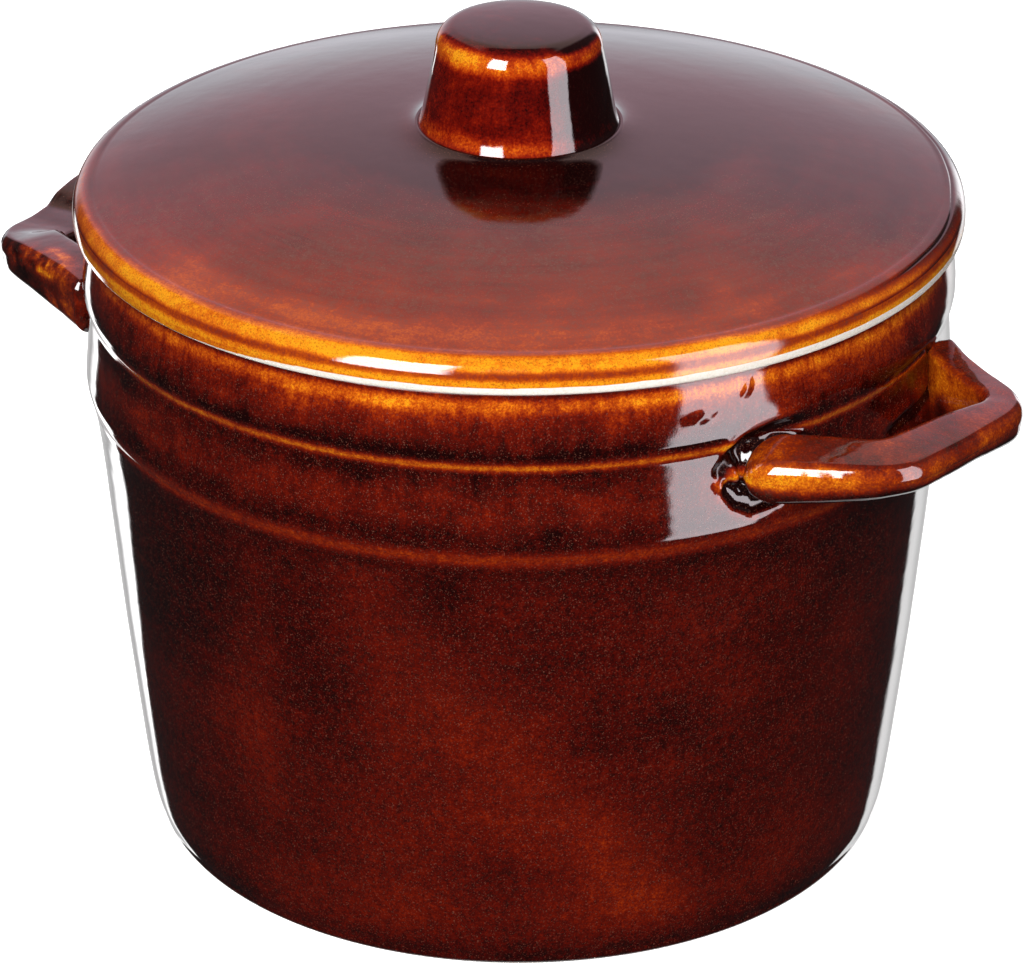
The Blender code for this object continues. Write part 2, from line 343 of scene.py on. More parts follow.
def glaze_material(name, wander=0.10, cloud=0.10, brush=0.09, grain=0.13, streak=0.0, haze=0.07,
                   flecks=0.5, dents=0.35, bloom=0.0, prick=0.06, tint=(1.0, 1.0, 1.0)):
    """Transparent brown glaze. The mesh carries how thick the glaze lies in one attribute (0 thin, 1 pooled),
    which in a few places is also raised to paint shade, and the unglazed clay in `bare`."""
    mat, tree, shader = new_material(name)
    at = object_position(tree)
    x, y, z = split(tree, at)
    radius = (x * x + y * y).root()
    # brush marks run round the axis: short across it, long along it
    round_axis = join(tree, x * 55.0, y * 55.0, (z + radius) * 620.0)
    broad = join(tree, x * 16.0, y * 16.0, (z + radius) * 110.0)
    coat_and_shade = attribute(tree, "coat_and_shade")
    bare = attribute(tree, "bare")
    marks = noise_at(tree, round_axis, 1.0, 3.0, 0.6, 0.6)
    sweeps = noise_at(tree, broad, 1.0, 2.0, 0.5, 0.8)
    patches = noise_at(tree, at, 42.0, 3.0, 0.55, 0.5, lift=1.7)
    clouds = noise_at(tree, at, 13.0, 2.0, 0.5, 0.8, lift=4.1)
    fine = noise_at(tree, at, 1500.0, 3.0, 0.7)
    mid = noise_at(tree, at, 420.0, 3.0, 0.6, lift=2.3)
    runs = noise_at(tree, join(tree, x * 620.0, y * 620.0, z * 120.0), 1.0, 3.0, 0.6, 0.4)
    streaked = (z.step(0.138, 0.168) * 0.7 + 0.3) * streak * 2.0
    even = coat_and_shade + (patches - 0.5) * wander * 2.0 + (clouds - 0.5) * cloud * 2.0
    depth = (even + (marks - 0.5) * brush * 1.6 + (sweeps - 0.5) * brush * 1.6
             + (fine - 0.5) * grain * 2.2 + (mid - 0.5) * grain * 1.5 + (runs - 0.5) * streaked)
    # the tint grows with the depth of the glaze
    colour = ramp(tree, depth.clamp(), [(p, tuple(c[i] * tint[i] ** min(1.0, p / 0.6) for i in range(3))) for p, c in GLAZE])
    # pale crystals that float in the dark glaze, dark iron specks in the thin glaze
    tiny = noise_at(tree, at, 2300.0, 1.0, 0.5, lift=7.7)
    pale = tiny.step(0.60, 0.72) * depth.step(0.35, 0.6) * flecks
    colour = mix_colour(tree, pale, colour, (0.22, 0.085, 0.055))
    iron = noise_at(tree, at, 2100.0, 1.0, 0.5, lift=9.3)
    dark = iron.step(0.52, 0.68) * depth.step(0.55, 0.2) * 0.5
    colour = mix_colour(tree, dark, colour, (0.17, 0.028, 0.003))
    # a faint milky bloom, in grains and in soft clouds
    milk = (fine * 0.55 + mid * 0.45).step(0.42, 0.64) * (patches.step(0.35, 0.65) * 0.6 + 0.4) * even.step(0.15, 0.45) * even.step(1.02, 0.72) * bloom
    colour = mix_colour(tree, milk, colour, (0.25, 0.115, 0.07))
    # bare clay, with a ragged glaze line
    ragged = (bare + (mid - 0.5) * 0.5).step(0.42, 0.56)
    clay = ramp(tree, fine, [(0.30, (0.72, 0.66, 0.57)), (0.50, BISQUE), (0.75, (0.90, 0.87, 0.82))])
    colour = mix_colour(tree, ragged, colour, clay)
    tree.links.new(colour, shader.inputs["Base Color"])
    rough = (haze + (patches - 0.5) * 0.03 + bare * 0.9) * (1.0 - ragged) + ragged * 0.62
    put(tree, shader.inputs["Roughness"], rough.clamp())
    shader.inputs["IOR"].default_value = 1.52
    # a fired glaze is never quite level: soft dents, and pin pricks
    swell = noise_at(tree, at, 95.0, 2.0, 0.5, lift=3.1)
    first = bump_from(tree, swell, dents, 0.0012)
    pricks = (tiny * 0.4 + fine * 0.6)
    second = bump_from(tree, pricks, prick, 0.00012, first)
    tree.links.new(second, shader.inputs["Normal"])
    return mat


def clay_material(name):
    """Unglazed pressed stoneware, gritty and slightly stained by use."""
    mat, tree, shader = new_material(name)
    at = object_position(tree)
    wide = noise_at(tree, at, 38.0, 4.0, 0.6, 0.4)
    grit = noise_at(tree, at, 900.0, 2.0, 0.6)
    spot = noise_at(tree, at, 330.0, 1.0, 0.5, lift=2.0)
    colour = ramp(tree, wide, [(0.30, (0.42, 0.31, 0.20)), (0.50, (0.58, 0.46, 0.33)), (0.70, (0.69, 0.59, 0.45))])
    colour = mix_colour(tree, grit.step(0.60, 0.72) * 0.6, colour, (0.30, 0.20, 0.12))
    colour = mix_colour(tree, spot.step(0.70, 0.76) * 0.7, colour, (0.16, 0.08, 0.04))
    tree.links.new(colour, shader.inputs["Base Color"])
    put(tree, shader.inputs["Roughness"], 0.72 + (grit - 0.5) * 0.3)
    shader.inputs["IOR"].default_value = 1.45
    first = bump_from(tree, wide, 0.4, 0.0012)
    second = bump_from(tree, grit * 0.7 + spot * 0.3, 0.5, 0.00035, first)
    tree.links.new(second, shader.inputs["Normal"])
    return mat


# --------------------------------------------------------------------- crock
# outer radius by height: tapered wall, two rings where the wall steps out,
# upright collar
OUTSIDE = [
    (3.2, 106.5), (7.0, 107.8), (12.0, 108.7), (20.0, 109.8), (32.0, 111.2), (48.0, 113.0),
    (65.0, 114.8), (82.0, 116.4), (98.0, 117.85), (106.0, 118.55), (112.0, 119.1), (118.0, 119.7),
    (123.0, 120.3), (127.5, 120.9), (131.0, 121.55), (133.0, 122.0), (134.0, 122.15), (134.8, 122.3),
    (136.0, 122.75), (137.1, 123.05), (138.2, 123.25), (139.6, 123.3), (141.2, 123.15), (146.0, 122.75),
    (152.0, 122.3), (158.0, 121.95), (160.4, 121.8), (161.4, 121.9), (162.3, 122.3), (163.4, 122.8),
    (164.8, 123.2), (166.4, 123.4), (168.4, 123.38), (171.0, 123.15), (174.0, 122.7), (177.0, 122.1),
    (180.0, 121.4), (182.6, 120.8),
]
outer_radius = curve_through(OUTSIDE)
RIM_Z = 184.05


def inner_radius(z):
    t = np.clip((np.asarray(z, float) - 9.0) / 111.0, 0.0, 1.0)
    return 99.0 + 16.6 * t ** 0.8


# how thick the glaze lies on the outside, by height
COAT_OUTSIDE = curve_through([
    (0.0, 0.84), (4.0, 0.86), (9.0, 0.78), (20.0, 0.70), (32.0, 0.755), (48.0, 0.755), (62.0, 0.75), (85.0, 0.78), (104.0, 0.80),
    (118.0, 0.81), (128.0, 0.84), (131.6, 0.86), (133.2, 0.72), (134.6, 0.51), (136.0, 0.48), (137.6, 0.68),
    (139.8, 0.88), (143.0, 0.84), (148.0, 0.69), (153.0, 0.70), (157.0, 0.84), (160.0, 0.87), (161.2, 0.54), (162.3, 0.17),
    (163.3, 0.30), (164.6, 0.80), (166.2, 0.98), (168.5, 0.86), (171.0, 0.72), (174.0, 0.61), (176.6, 0.52), (177.6, 0.44),
    (178.5, 0.28), (179.6, 0.22), (180.8, 0.24), (181.5, 0.38), (182.1, 0.58), (184.2, 0.66)])

# ends of the straps on the wall: direction of each handle, its lift, and the side
ROOTS = [(-HANDLE_OFF, -1, 154.6, 34.0), (-HANDLE_OFF, 1, 156.2, 36.0),
         (180.0 + HANDLE_OFF, -1, 152.4, 37.0), (180.0 + HANDLE_OFF, 1, 151.4, 40.0)]


def root_distance(angle, z, out_deg, side, height, reach):
    """Distance on the wall, in mm, from the outline of a strap's root."""
    s = (np.degrees(angle) - out_deg + 180.0) % 360.0 - 180.0
    s = np.radians(s) * 123.0 * side
    along = np.clip(s, 16.0, reach)
    return np.hypot(s - along, z - height) - 7.0


def build_crock(mat):
    stations = []          # radius, height, outward tag, coat, bare

    def add(r, z, coat_and_shade, bare):
        stations.append((r, z, coat_and_shade, bare))

    add(0.0, 1.6, 0.6, 1.0)
    for r in (20, 45, 70, 88, 92.2):
        add(r, 1.6, 0.6, 1.0)
    for a in (30, 60, 90):
        add(95.6 - 2.4 * math.cos(math.radians(a)), 1.6 - 1.6 * math.sin(math.radians(a)), 0.6, 1.0)
    for r in (97.0, 99.0, 101.0, 102.4):
        add(r, 0.0, 0.5, 1.0)
    for i in range(1, 9):
        a = math.radians(-90 + 90 * i / 8)
        z = 3.2 + 3.2 * math.sin(a)
        add(103.3 + 3.2 * math.cos(a), z, 0.86, 1.0 if z < 0.7 else (0.5 if z < 1.1 else 0.0))
    z = 3.2
    while z < 182.4:
        dz = 3.2 if 14 < z < 100 else 1.4
        if z > 118:
            dz = 0.85
        if 141.0 < z < 170.0:
            dz = 0.62
        if 131.5 < z < 139.5 or 160.0 < z < 167.0:
            dz = 0.40
        z = min(182.6, z + dz)
        add(float(outer_radius(z)), z, float(COAT_OUTSIDE(z)), 0.0)
    for i in range(1, 8):
        a = math.radians(90 * i / 7)
        add(119.3 + 1.5 * math.cos(a), 182.6 + 1.45 * math.sin(a), 0.66 - 0.2 * i / 7, 0.34 if i < 4 else 0.9)
    for r in (118.8, 118.2, 117.6):
        add(r, RIM_Z, 0.3, 1.0)
    for i in range(1, 8):
        a = math.radians(90 + 90 * i / 7)
        add(117.0 + 1.4 * math.cos(a), RIM_Z - 1.4 + 1.4 * math.sin(a), 0.35 + 0.2 * i / 7, 1.0 if i < 4 else 0.0)
    z = RIM_Z - 1.4
    while z > 23.5:
        z -= 2.6 if z > 168 else 4.6
        add(float(inner_radius(z)), z, 0.50 + 0.10 * math.sin(z / 23.0), 0.0)
    corner_r = float(inner_radius(23.0)) - 14.0
    for i in range(1, 10):
        a = math.radians(-90 * i / 9)
        add(corner_r + 14.0 * math.cos(a), 23.0 + 14.0 * math.sin(a), 0.62 + 0.1 * math.sin(math.pi * i / 9), 0.0)
    for r in (80, 72, 62, 52, 42, 32, 22, 12, 5):
        add(r, 9.0, 0.60, 0.0)
    add(0.0, 9.0, 0.58, 0.0)

    zones = [(out + s * 18.0, 6.5) for out, s, _, _ in ROOTS]
    angles = dense_angles(1.5, 0.32, zones)
    rr, zz, aa, idx, faces = revolve(stations, angles)
    coat_and_shade = np.array([s[2] for s in stations])[idx]
    bare = np.array([s[3] for s in stations])[idx]

    x, y = rr * np.cos(aa), rr * np.sin(aa)
    outside = (zz > 3.0) & (zz < 183.4) & (rr > inner_radius(zz) + 2.5)
    fade = smooth((zz - 4.0) / 8.0) * smooth((182.5 - zz) / 3.0)
    pts = np.stack([x, y, zz], 1)
    # hand-turned wall: it is not quite round, and carries faint turning lines
    wob = ripple(pts * np.array([1.0, 1.0, 0.6]), 95.0, 1.0, 1)
    lines = ripple(np.stack([x * 0.08, y * 0.08, zz], 1), 5.5, 2.0, 2)
    lumps = ripple(pts, 24.0, 3.0, 2)
    push = np.where(outside, fade * (0.16 * wob + 0.035 * lines + 0.05 * lumps), 0.0)
    # hollow and lip pressed into the wall round each strap root: (depth, width, lip)
    pressed = [(2.9, 2.0, 0.60), (1.1, 1.2, 0.06), (1.2, 1.3, 0.12), (1.0, 1.2, 0.06)]
    for (out, s, height, reach), (deep, wide, raised) in zip(ROOTS, pressed):
        first = smooth((wide - 1.5) / 0.3)
        d = root_distance(aa, zz, out, s, height, reach)
        jig = ripple(pts, 8.0, 4.0 + s, 1)
        ss = (np.degrees(aa) - out + 180.0) % 360.0 - 180.0
        ss = np.radians(ss) * 123.0 * s
        fades = smooth((ss - 9.0 - 9.0 * first) / 14.0)
        near = np.where(outside, 1.0, 0.0) * smooth((30.0 - d) / 18.0) * fades
        above = smooth((zz - height - 2.0) / 5.0) * smooth((wide - 1.5) / 0.3)
        dd = d + 0.7 * jig - 1.2 * above
        groove = np.exp(-np.abs((dd - 0.9) / (wide + 0.9 * above)) ** 3)
        lip = hump(dd, 6.0, 2.2) * (0.12 + 0.88 * smooth((zz - height + 1.0) / 4.0))
        push += near * (-deep * groove + raised * lip)
        coat_and_shade = coat_and_shade + near * (0.80 * np.exp(-np.abs((dd - 1.0) / (1.3 * wide + 1.0 * above)) ** 3) - 0.62 * raised * lip)
    # the front root of the right strap is smeared on to the wall: a hollow over it, a
    # tongue of squeezed clay beside it and a groove round the tongue; their dark glaze is pooled glaze and also painted
    # shade beside and under the strap
    out, s, height, reach = ROOTS[0]
    ss = (np.degrees(aa) - out + 180.0) % 360.0 - 180.0
    ss = np.radians(ss) * 123.0 * s
    crumb = ripple(pts, 1.9, 81.0, 2)

    def chain(points):
        """Distance in mm from a chain of points on the wall, and the share of the way along it."""
        best = np.full(len(ss), 1e3)
        share = np.zeros(len(ss))
        for k in range(len(points) - 1):
            (u0, v0), (u1, v1) = points[k], points[k + 1]
            du, dv = u1 - u0, v1 - v0
            t = np.clip(((ss - u0) * du + (zz - v0) * dv) / (du * du + dv * dv), 0.0, 1.0)
            d = np.hypot(ss - u0 - t * du, zz - v0 - t * dv)
            share = np.where(d < best, (k + t) / (len(points) - 1), share)
            best = np.minimum(best, d)
        return best, share

    d, along = chain([(41.0, 162.0), (45.0, 159.4), (48.4, 155.8)])
    g = np.where(outside, np.exp(-(d / (3.3 - 1.2 * along)) ** 4), 0.0)
    push += -1.2 * g
    # painted shade: the hollow's dark glaze is pooled glaze and also stands in for the shade over the strap's end
    coat_and_shade = coat_and_shade + 0.9 * g
    dull = g
    d, along = chain([(46.6, 152.2), (45.6, 149.2), (43.2, 146.2), (38.5, 143.8), (31.0, 144.6), (22.0, 147.4)])
    g = np.where(outside, np.exp(-(d / (1.9 + 0.7 * along)) ** 4), 0.0)
    push += -1.9 * g
    # painted shade: the groove's dark glaze also stands in for the shadow under the strap
    coat_and_shade = coat_and_shade + 0.95 * g
    lip = np.where(outside, hump(d, 3.6, 1.1) * (ss > 37.0), 0.0)
    coat_and_shade = coat_and_shade - 0.30 * lip * (1.0 + 0.4 * crumb)
    d, along = chain([(38.0, 152.8), (43.0, 153.8), (46.4, 153.2), (48.4, 151.4)])
    g = np.where(outside, np.exp(-(d / (2.6 - 1.1 * along + 0.35 * crumb)) ** 2), 0.0)
    push += g * (3.6 - 2.4 * along + 0.7 * crumb)
    coat_and_shade = coat_and_shade * (1.0 - g) + g * (0.10 + 0.24 * crumb)
    bare = np.maximum(bare, 0.20 * dull * (1.0 - g))
    coat_and_shade = coat_and_shade - np.where(outside, 0.34 * np.exp(-(((ss - reach + 9.0) / 13.0) ** 2 + ((zz - 141.0) / 3.0) ** 2)), 0.0)
    # beads and dimples left in the glaze on the collar
    for deg, z0, wide, deep in ((-62.0, 176.0, 2.8, 0.10), (-96.0, 170.0, 3.0, -0.10)):
        along = np.radians((np.degrees(aa) - deg + 180.0) % 360.0 - 180.0) * 123.0
        g = np.exp(-((along / 1.4) ** 2 + (zz - z0) ** 2) / wide ** 2)
        push += np.where(outside, -deep * g, 0.0)
        coat_and_shade = coat_and_shade + np.where(outside, 0.6 * deep * g, 0.0)
    # two drops with steep flanks
    for deg, z0, long, wide, tilt in ((-26.4, 178.0, 3.2, 1.3, 50.0), (-32.5, 172.9, 5.2, 2.2, 14.0)):
        u = np.radians((np.degrees(aa) - deg + 180.0) % 360.0 - 180.0) * 123.0
        v = zz - z0
        c, q = math.cos(math.radians(tilt)), math.sin(math.radians(tilt))
        b = v * c - u * q - 0.6 * wide
        d = np.hypot((u * c + v * q) / long, np.where(b > 0.0, b / 0.4, b / 1.6) / wide)
        push += np.where(outside, 0.85 * np.clip(1.0 - d, 0.0, 1.0), 0.0)
        coat_and_shade = coat_and_shade + np.where(outside, 0.10 * np.clip(1.0 - d, 0.0, 1.0), 0.0)
    bulge = np.exp(-(((np.degrees(aa) - out + 180.0) % 360.0 - 180.0 + 19.0) / 6.8) ** 2 - ((zz - 181.0) / 9.0) ** 2)
    push += np.where(outside, 0.5 * bulge * smooth((183.2 - zz) / 2.0), 0.0)
    push += np.where(outside, 0.011 * ripple(pts, 7.0, 17.0, 2) * smooth((zz - 139.0) / 3.0) * smooth((182.0 - zz) / 3.0), 0.0)
    # the dipped glaze ran thinner in a slanting sheet across the front; the wall is also made a little lighter where it
    # faces the camera and darker towards its sides, which is painted shade
    arc = np.radians((np.degrees(aa) + 90.0 - VIEW_AZIMUTH + 180.0) % 360.0 - 180.0) * 118.0
    low_wall = np.where(outside, 1.0, 0.0) * smooth((133.0 - zz) / 6.0)
    sheet = np.interp(zz, (0.0, 26.0, 48.0, 65.0, 96.0, 129.0), (62.0, 36.0, 13.0, 0.0, -23.0, -45.0))
    edge = ripple(pts, 22.0, 61.0, 3)
    cloud = ripple(pts * np.array([1.0, 1.0, 0.8]), 34.0, 62.0, 3)
    coat_and_shade = coat_and_shade - low_wall * 0.105 * hump(arc + 7.0 * edge, sheet, 15.0) * smooth((zz - 6.0) / 14.0)
    # painted shade: a little lighter across the part of the wall that faces the camera
    coat_and_shade = coat_and_shade - low_wall * 0.03 * hump(zz, 36.0, 26.0) * hump(arc, 12.0, 62.0)
    # painted shade: the two smooth steps darken the wall towards its sides as seen from the camera; the clouds are the
    # glaze's own
    coat_and_shade = coat_and_shade + low_wall * (0.015 + 0.10 * smooth((-arc - 70.0) / 34.0) + 0.045 * smooth((arc - 54.0) / 34.0) + 0.07 * cloud)
    coat_and_shade = coat_and_shade + low_wall * (0.06 * hump(arc, 44.0, 9.0) * hump(zz, 86.0, 13.0) + 0.05 * hump(arc, -62.0, 10.0) * hump(zz, 82.0, 26.0)
                              - 0.07 * hump(arc, -79.0, 6.0) * hump(zz, 70.0, 40.0))
    # runs down the collar and the tier below it, thicker towards the left
    upper = np.where(outside, 1.0, 0.0) * smooth((zz - 139.0) / 4.0)
    runs = ripple(np.stack([x, y, zz * 0.22], 1), 5.0, 63.0, 3)
    blots = ripple(pts * np.array([0.7, 0.7, 1.4]), 10.0, 64.0, 3)
    ridge = np.exp(-np.abs((zz - 162.6) / 2.4) ** 3)
    coat_and_shade = coat_and_shade + upper * (1.0 - ridge) * (0.10 * runs + 0.13 * blots)
    coat_and_shade = coat_and_shade + upper * 0.10 * smooth((-arc - 38.0) / 50.0) * smooth((zz - 168.0) / 6.0)
    rr = rr + push
    coat_and_shade = np.clip(coat_and_shade, 0.0, 1.15)
    verts = np.stack([rr * np.cos(aa), rr * np.sin(aa), zz], 1)
    return add_object("crock_shell", verts, faces, [mat], attributes={"coat_and_shade": coat_and_shade, "bare": bare})


# ----------------------------------------------------------------------- lid
def lid_height(r):
    r = np.asarray(r, float)
    t = np.clip((r - 26.0) / 93.4, 0.0, None)
    return 210.0 - 15.0 * (0.35 * t + 0.65 * t ** 2.4)


def build_lid(mat):
    stations = []

    def add(r, z, coat_and_shade, bare):
        stations.append((r, z, coat_and_shade, bare))

    top_coat = curve_through([(0, 0.60), (27, 0.62), (32, 0.60), (45, 0.54), (70, 0.52), (95, 0.47), (106, 0.42), (112, 0.34), (117, 0.20), (119.5, 0.12)])
    add(0.0, 209.7, 0.6, 0.0)
    for r in [6.0, 12.0, 18.0, 23.0, 26.0] + list(np.arange(27.0, 40.0, 0.55)) + list(np.arange(41.0, 108.0, 2.4)) + list(np.arange(108.0, 118.6, 0.8)):
        z = float(lid_height(r))
        add(r, z, float(top_coat(r)), 0.0)
    # edge: a rolled shoulder, a short upright face and a crisp lower corner
    edge_coat = curve_through([(0, 0.06), (46, 0.05), (54, 0.08), (59, 0.18), (64, 0.35), (69, 0.39), (74, 0.33), (80, 0.10), (88, 0.03), (90, 0.06)])
    for i in range(0, 61):
        d = 1.5 * i
        a = math.radians(d)
        flat = 0.25 * math.sin(math.radians(2 * d)) ** 2
        add(119.3 + 6.15 * math.sin(a) + flat, 187.45 + 7.55 * math.cos(a) + 0.1 * math.sin(math.radians(2 * d)), float(edge_coat(d)), 0.0)
    add(125.46, 187.22, 0.1, 0.0)
    for r, z in ((125.44, 187.0), (125.40, 186.5), (125.37, 186.25), (125.34, 186.0), (125.3, 185.8), (125.26, 185.6), (125.18, 185.42), (125.08, 185.25),
                 (124.8, 185.0), (124.3, 184.78), (123.6, 184.6), (122.8, 184.48)):
        add(r, z, 0.1, 1.0)
    for r in (121.8, 120.4, 118.6, 116.8, 115.2, 114.4):
        add(r, 184.42, 0.2, 1.0)
    # locating ring
    for i in range(1, 5):
        a = math.radians(90 * i / 4)
        add(114.4 - 0.7 * math.sin(a), 184.42 - 0.7 + 0.7 * math.cos(a), 0.3, 1.0)
    for z in (182.4, 181.0, 179.4, 178.2):
        add(113.5 - 0.1 * (183 - z) / 5, z, 0.42, 0.5 if z > 181.5 else 0.0)
    for i in range(1, 7):
        a = math.radians(90 * i / 6)
        add(111.8 + 1.6 * math.cos(a), 178.2 - 1.6 * math.sin(a), 0.36, 0.0)
    for r in (110.4, 109.2, 108.0):
        add(r, 176.6, 0.40, 0.0)
    for i in range(1, 7):
        a = math.radians(90 + 90 * i / 6)
        add(107.4 - 1.6 * math.cos(math.pi - a), 178.2 - 1.6 * math.sin(a), 0.40, 0.0)
    for z in (179.4, 181.0, 182.6, 184.0):
        add(105.7 - 0.6 * (z - 178.2) / 6, z, 0.50, 0.0)
    for i in range(1, 6):
        t = i / 5.0
        add(105.0 - 5.5 * t, 184.6 + (float(lid_height(99.5)) - 8.0 - 184.6) * math.sin(t * math.pi / 2), 0.6, 0.0)
    for r in np.arange(96.0, 4.0, -4.6):
        add(float(r), float(lid_height(r)) - 8.0, 0.52, 0.0)
    add(0.0, 202.0, 0.5, 0.0)
    rr, zz, aa, idx, faces = revolve(stations, even_angles(256))
    coat_and_shade = np.array([s[2] for s in stations])[idx]
    bare = np.array([s[3] for s in stations])[idx]
    x, y = rr * np.cos(aa), rr * np.sin(aa)
    pts = np.stack([x, y, zz], 1)
    top = (zz > lid_height(rr) - 1.0) & (rr < 119.0)
    wob = ripple(np.stack([x, y, zz * 0], 1), 70.0, 5.0, 1)
    rings = ripple(np.stack([rr, x * 0.06, y * 0.06], 1), 6.0, 6.0, 2)
    zz = zz + np.where(top, smooth((118.5 - rr) / 10.0) * (0.14 * wob + 0.022 * rings), 0.0)
    # clay dragged up to the knob's foot
    zz = zz + np.where(top & (rr > 24.0), 1.75 * np.exp(-np.maximum(rr - 28.6, 0.0) / 2.6) * smooth((rr - 27.6) / 0.9), 0.0)
    edge = (zz > 187.0) & (rr > 118.0)
    rim = ripple(pts, 16.0, 7.0, 2)
    rr = rr + np.where(edge, 0.05 * rim, 0.0) * smooth((rr - 118.0) / 2.0)
    # the glaze is made thinner towards the front and thicker to the back, and darker round the knob: pooled glaze,
    # which also paints the knob's shade on the lid
    va = math.radians(VIEW_AZIMUTH)
    fwd = x * math.sin(va) - y * math.cos(va)
    right = x * math.cos(va) + y * math.sin(va)
    outer = (zz > 187.4) & (rr > 20.0) & (zz > lid_height(rr) - 2.5)
    wander = ripple(pts, 21.0, 8.0, 3)
    ragged = ripple(pts, 5.0, 9.0, 3)
    lean = curve_through([(-130, 1.04), (-50, 1.02), (10, 0.93), (40, 0.81), (60, 0.70), (75, 0.63), (90, 0.57), (110, 0.50), (130, 0.45)])(fwd - 0.10 * right)
    # painted shade: the dark ring round the knob (the 0.28 term) also stands in for the knob's shade
    plate = lean + 0.28 * np.exp(-(((rr - 30.0) / 24.0) ** 2)) + 0.09 * wander
    swirl = ripple(np.stack([rr * 0.9, x * 0.10, y * 0.10], 1), 7.0, 10.0, 3)
    plate = plate + 0.04 * swirl
    # it thins towards the edge, most at the front left
    near_edge = smooth((rr - 104.0) / 12.0) * smooth((fwd + 90.0) / 80.0)
    left_front = hump(np.degrees(np.arctan2(fwd, -right)), 48.0, 24.0)
    plate = plate - near_edge * (0.06 + 0.12 * left_front + 0.05 * ragged)
    # straw over the rolled shoulder, a darker run below it, straw again on the lower corner
    turn = np.degrees(np.arctan2((rr - 119.3) / 6.15, np.maximum(zz - 187.45, 0.0) / 7.55))
    leftish = fwd - 18.0 * smooth(right / 60.0)
    upper_gold = curve_through([(-130, 0.90), (-45, 0.78), (-8, 0.42), (30, 0.27), (60, 0.11), (92, 0.04), (130, 0.04)])(leftish)
    lower_gold = curve_through([(-130, 0.90), (-45, 0.70), (0, 0.40), (32, 0.44), (58, 0.36), (84, 0.14), (110, 0.04), (130, 0.04)])(leftish)
    lower_gold = lower_gold + 0.26 * smooth(right / 60.0) * smooth((100.0 - fwd) / 40.0)
    upper_gold = upper_gold + 0.12 * smooth(right / 60.0) * smooth((70.0 - fwd) / 40.0)
    low_part = smooth((turn - 56.0) / 16.0)
    gold = upper_gold * (1.0 - low_part) + lower_gold * low_part + (coat_and_shade - 0.05)
    side_on = np.degrees(np.arctan2(fwd, right))
    rise = smooth((turn + 3.0 * ragged - 7.0 - 24.0 * smooth((72.0 - side_on) / 40.0) * smooth((side_on + 60.0) / 30.0)) / 27.0)
    shoulder = plate * (1.0 - rise) + rise * gold + 0.05 * wander + 0.10 * ragged
    coat_and_shade = np.where(outer, np.where(rr < 119.3, plate, shoulder), coat_and_shade)
    # a fine groove where the shoulder turns down, at the right side
    groove = np.where(outer, smooth((side_on + 34.0) / 12.0) * smooth((40.0 - side_on) / 14.0), 0.0)
    where_r = 121.0 + 1.6 * smooth((side_on - 2.0) / 16.0) + 0.4 * ripple(pts, 30.0, 15.0, 2)
    groove = groove * np.exp(-((rr - where_r) / 0.32) ** 2)
    zz = zz - 0.22 * groove
    coat_and_shade = coat_and_shade + 0.6 * groove
    # the bare edge is wiped wide in front and narrows towards the sides
    line = (185.35 + 1.85 * smooth((fwd + 0.55 * right - 35.0) / 60.0) + 0.25 * ripple(pts, 9.0, 14.0, 2)
            + 0.4 * smooth(right / 60.0) * smooth(fwd / 40.0))
    bare = np.where((rr > 122.0) & (zz > 184.46) & (zz < 187.6), smooth((line - zz) / 0.35 + 0.5), bare)
    coat_and_shade = np.clip(coat_and_shade, 0.0, 1.1)
    verts = np.stack([rr * np.cos(aa), rr * np.sin(aa), zz], 1)
    return add_object("lid_dome", verts, faces, [mat], attributes={"coat_and_shade": coat_and_shade, "bare": bare})


